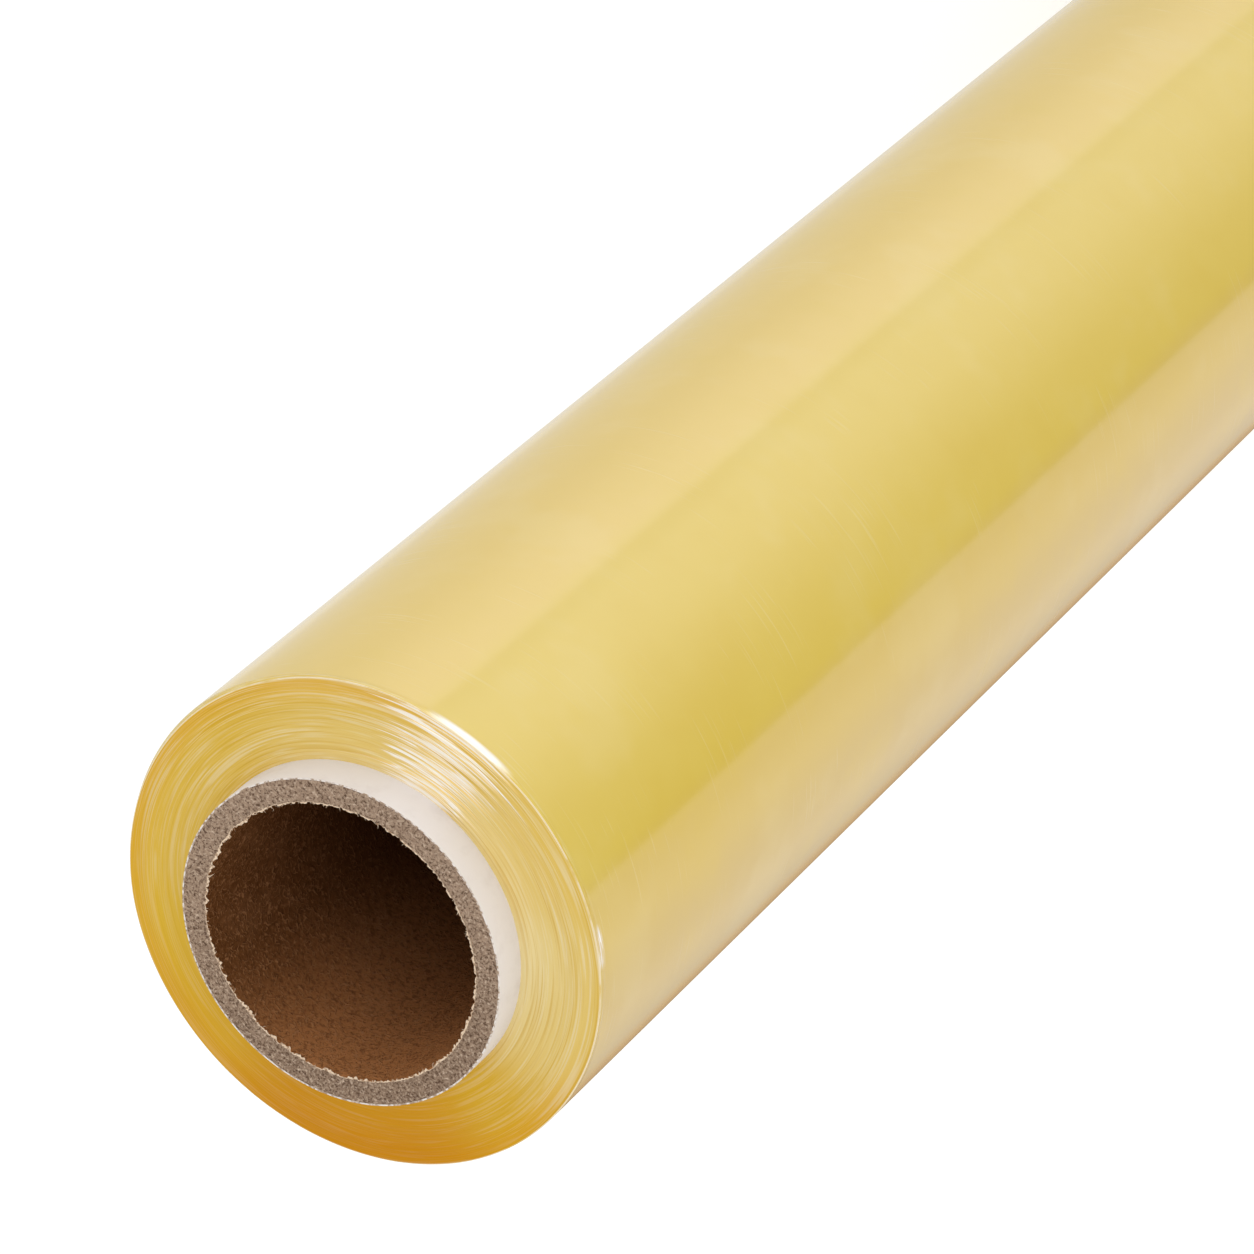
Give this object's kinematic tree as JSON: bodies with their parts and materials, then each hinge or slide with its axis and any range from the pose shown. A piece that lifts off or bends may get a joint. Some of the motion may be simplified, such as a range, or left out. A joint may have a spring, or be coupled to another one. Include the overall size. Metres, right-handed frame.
{
  "type": "pvc film roll",
  "caption": "Roll of clear yellowish PVC wrapping film, wound on a paper core that stands out past the film at both ends.",
  "frame": {"origin": "centre of the ring of board that the roll stands on, at the surface it stands on", "axes": "+Z along the roll's axis, upwards; the roll is round, so X and Y are any two directions across it"},
  "size_m": [0.067, 0.067, 0.3106],
  "materials": {
    "film": "clear PVC film with a yellow cast, wound tight, glossy on the outside and finely lined on the end faces",
    "greyboard": "grey-brown recycled board, sawn across, with its fibres showing",
    "kraft_ply": "matt brown kraft paper with a fibrous nap",
    "white_ply": "smooth white paper with a slight sheen"
  },
  "bodies": {
    "root": {"film_roll": "film", "core_tube": "greyboard", "core_liner": "kraft_ply", "core_wrap": "white_ply"}
  },
  "joints": []
}
